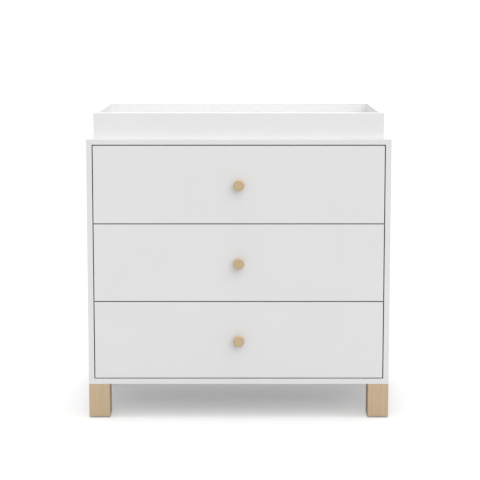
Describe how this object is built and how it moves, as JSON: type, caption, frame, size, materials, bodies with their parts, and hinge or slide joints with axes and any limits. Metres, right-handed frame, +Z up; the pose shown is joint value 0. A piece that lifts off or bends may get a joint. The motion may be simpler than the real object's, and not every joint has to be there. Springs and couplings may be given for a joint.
{
  "type": "changing table",
  "caption": "White chest of drawers on square pale wood legs with a lift-off changing tray on top and round wooden knobs.",
  "frame": {"origin": "on the floor under the middle of the whole piece", "axes": "+Z up, -Y out of the drawer fronts, +X to the right seen from the front"},
  "size_m": [0.89, 0.51, 0.908],
  "materials": {
    "white_paint": "satin white lacquer on fibreboard",
    "white_foil": "matt white foil on board",
    "hardboard": "white faced hardboard",
    "pale_wood": "clear matt lacquer on pale straight-grained hardwood",
    "dowel_wood": "raw fluted hardwood",
    "runner_steel": "white powder coat",
    "zinc_steel": "bright zinc plate",
    "nylon": "moulded natural nylon",
    "glide_plastic": "moulded dark grey"
  },
  "bodies": {
    "case": {"left_side_panel": "white_paint", "right_side_panel": "white_paint", "top_panel": "white_paint", "bottom_panel": "white_paint", "back_panel": "hardboard", "upper_cross_rail": "white_paint", "lower_cross_rail": "white_paint", "back_rail": "white_paint", "front_left_leg": "pale_wood", "front_right_leg": "pale_wood", "rear_left_leg": "pale_wood", "rear_right_leg": "pale_wood", "leg_glides": "glide_plastic", "leg_screws": "zinc_steel", "case_dowels": "dowel_wood", "case_cams": "zinc_steel", "case_cam_bolts": "zinc_steel", "left_case_runners": "runner_steel", "right_case_runners": "runner_steel", "case_runner_screws": "zinc_steel", "tray_hook_screws": "zinc_steel"},
    "tray": {"tray_front_board": "white_paint", "tray_back_board": "white_paint", "tray_left_board": "white_paint", "tray_right_board": "white_paint", "tray_floor": "white_paint", "tray_dowels": "dowel_wood", "tray_hook_plates": "zinc_steel", "tray_plate_screws": "zinc_steel"},
    "top_drawer": {"top_drawer_front": "white_paint", "top_drawer_left_side": "white_foil", "top_drawer_right_side": "white_foil", "top_drawer_back": "white_foil", "top_drawer_bottom": "hardboard", "top_drawer_runners": "runner_steel", "top_knob": "pale_wood", "top_drawer_fasteners": "zinc_steel"},
    "top_case_roller_pair": {"top_case_rollers": "nylon"},
    "top_drawer_roller_pair": {"top_drawer_rollers": "nylon"},
    "middle_drawer": {"middle_drawer_front": "white_paint", "middle_drawer_left_side": "white_foil", "middle_drawer_right_side": "white_foil", "middle_drawer_back": "white_foil", "middle_drawer_bottom": "hardboard", "middle_drawer_runners": "runner_steel", "middle_knob": "pale_wood", "middle_drawer_fasteners": "zinc_steel"},
    "middle_case_roller_pair": {"middle_case_rollers": "nylon"},
    "middle_drawer_roller_pair": {"middle_drawer_rollers": "nylon"},
    "bottom_drawer": {"bottom_drawer_front": "white_paint", "bottom_drawer_left_side": "white_foil", "bottom_drawer_right_side": "white_foil", "bottom_drawer_back": "white_foil", "bottom_drawer_bottom": "hardboard", "bottom_drawer_runners": "runner_steel", "bottom_knob": "pale_wood", "bottom_drawer_fasteners": "zinc_steel"},
    "bottom_case_roller_pair": {"bottom_case_rollers": "nylon"},
    "bottom_drawer_roller_pair": {"bottom_drawer_rollers": "nylon"}
  },
  "joints": [
    {"name": "top_drawer_slide", "type": "slide", "parent": "case", "child": "top_drawer", "axis": [0, -1, 0], "range_m": [0, 0.3]},
    {"name": "top_case_roller_spin", "type": "hinge", "parent": "case", "child": "top_case_roller_pair", "pos_m": [0, -0.198, 0.63587], "axis": [1, 0, 0], "continuous": true},
    {"name": "top_drawer_roller_spin", "type": "hinge", "parent": "top_drawer", "child": "top_drawer_roller_pair", "pos_m": [0, 0.174, 0.62747], "axis": [1, 0, 0], "continuous": true},
    {"name": "middle_drawer_slide", "type": "slide", "parent": "case", "child": "middle_drawer", "axis": [0, -1, 0], "range_m": [0, 0.3]},
    {"name": "middle_case_roller_spin", "type": "hinge", "parent": "case", "child": "middle_case_roller_pair", "pos_m": [0, -0.198, 0.40453], "axis": [1, 0, 0], "continuous": true},
    {"name": "middle_drawer_roller_spin", "type": "hinge", "parent": "middle_drawer", "child": "middle_drawer_roller_pair", "pos_m": [0, 0.174, 0.39613], "axis": [1, 0, 0], "continuous": true},
    {"name": "bottom_drawer_slide", "type": "slide", "parent": "case", "child": "bottom_drawer", "axis": [0, -1, 0], "range_m": [0, 0.3]},
    {"name": "bottom_case_roller_spin", "type": "hinge", "parent": "case", "child": "bottom_case_roller_pair", "pos_m": [0, -0.198, 0.1732], "axis": [1, 0, 0], "continuous": true},
    {"name": "bottom_drawer_roller_spin", "type": "hinge", "parent": "bottom_drawer", "child": "bottom_drawer_roller_pair", "pos_m": [0, 0.174, 0.1648], "axis": [1, 0, 0], "continuous": true},
    {"name": "tray_lift", "type": "slide", "parent": "case", "child": "tray", "axis": [0, 0, 1], "range_m": [0, 0.12]}
  ],
  "couplings": [
    {"joint": "top_case_roller_spin", "follows": "top_drawer_slide", "rad_per_m": 105.26},
    {"joint": "top_drawer_roller_spin", "follows": "top_drawer_slide", "rad_per_m": 105.26},
    {"joint": "middle_case_roller_spin", "follows": "middle_drawer_slide", "rad_per_m": 105.26},
    {"joint": "middle_drawer_roller_spin", "follows": "middle_drawer_slide", "rad_per_m": 105.26},
    {"joint": "bottom_case_roller_spin", "follows": "bottom_drawer_slide", "rad_per_m": 105.26},
    {"joint": "bottom_drawer_roller_spin", "follows": "bottom_drawer_slide", "rad_per_m": 105.26}
  ]
}
